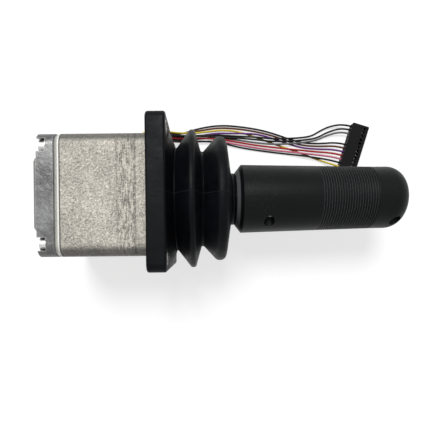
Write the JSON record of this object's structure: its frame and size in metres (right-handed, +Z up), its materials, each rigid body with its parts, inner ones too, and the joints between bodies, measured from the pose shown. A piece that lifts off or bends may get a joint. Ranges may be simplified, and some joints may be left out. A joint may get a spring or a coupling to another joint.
{
  "type": "industrial joystick",
  "caption": "Two-axis industrial joystick: square cast housing, flange with rubber boot and bellows, ribbed round grip on a sprung gimbal, and a flat lead connector.",
  "frame": {"origin": "centre of the four panel screws, on the lever's axis, in the plane where the flange seats on the panel; the object lies on its side, on the flange's lower edge", "axes": "+X along the lever towards the grip, +Z up, +Y to the side where the leads leave"},
  "size_m": [0.1945, 0.0925, 0.076],
  "materials": {
    "cast_body": "rough as-cast die casting, light warm grey",
    "cast_cover": "smooth die casting, mid grey",
    "gasket": "thin dark fibre sheet",
    "zinc_steel": "zinc-plated steel",
    "boot_rubber": "satin black moulded rubber",
    "plain_steel": "ground steel",
    "plain_alloy": "machined alloy",
    "bronze": "sintered bronze",
    "spring_steel": "spring steel wire",
    "inner_plastic": "black moulded plastic",
    "magnet_nickel": "nickel-plated magnet",
    "board_green": "green solder mask",
    "chip_black": "black chip package",
    "insert_brass": "turned brass",
    "grip_plastic": "black moulded plastic with a fine grain",
    "dark_steel": "black steel",
    "connector_plastic": "black moulded plastic",
    "tin_plate": "bright tin plate",
    "lead_black": "black insulation",
    "lead_brown": "brown insulation",
    "lead_yellow": "yellow insulation",
    "lead_violet": "violet insulation",
    "lead_grey": "grey insulation",
    "lead_red": "red insulation",
    "lead_pink": "pink insulation"
  },
  "bodies": {
    "housing": {"housing": "cast_body", "cover_gasket": "gasket", "rear_cover": "cast_cover", "cover_screws": "zinc_steel", "boot_flange": "boot_rubber", "flange_sleeves": "zinc_steel", "bellows": "boot_rubber", "gate_plate": "plain_steel", "gate_screws": "zinc_steel", "pivot_bushes": "bronze", "side_spring": "spring_steel", "circuit_board": "board_green", "board_screws": "zinc_steel", "field_sensor": "chip_black", "board_header": "inner_plastic", "lead_grommet": "boot_rubber", "connector_shell": "connector_plastic", "crimp_terminals": "tin_plate", "wire_black_1": "lead_black", "wire_brown": "lead_brown", "wire_yellow": "lead_yellow", "wire_violet": "lead_violet", "wire_black_2": "lead_black", "wire_black_3": "lead_black", "wire_grey": "lead_grey", "wire_red": "lead_red", "wire_pink": "lead_pink", "wire_black_4": "lead_black"},
    "yoke": {"yoke": "plain_alloy", "yoke_pins": "plain_steel", "hub_bushes": "bronze", "fore_spring": "spring_steel"},
    "lever": {"hub": "plain_alloy", "hub_pins": "plain_steel", "roll_pin": "plain_steel", "lever_shaft": "plain_steel", "magnet_holder": "inner_plastic", "magnet": "magnet_nickel", "neck_bush": "inner_plastic", "lock_nut": "zinc_steel", "grip_insert": "insert_brass", "grip_left": "grip_plastic", "grip_right": "grip_plastic", "grip_screws": "dark_steel", "grip_cap": "grip_plastic", "cap_screws": "dark_steel"}
  },
  "joints": [
    {"name": "tilt_up_down", "type": "hinge", "parent": "housing", "child": "yoke", "pos_m": [-0.018, 0, 0], "axis": [0, -1, 0], "range_deg": [-20, 20], "stiffness_Nm_per_rad": 8, "deforming": ["side_spring", "bellows", "wire_black_1", "wire_brown", "wire_yellow", "wire_violet", "wire_black_2", "wire_black_3", "wire_grey", "wire_red", "wire_pink", "wire_black_4"]},
    {"name": "tilt_side", "type": "hinge", "parent": "yoke", "child": "lever", "pos_m": [-0.018, 0, 0], "axis": [0, 0, 1], "range_deg": [-20, 20], "stiffness_Nm_per_rad": 8, "deforming": ["fore_spring"]}
  ]
}
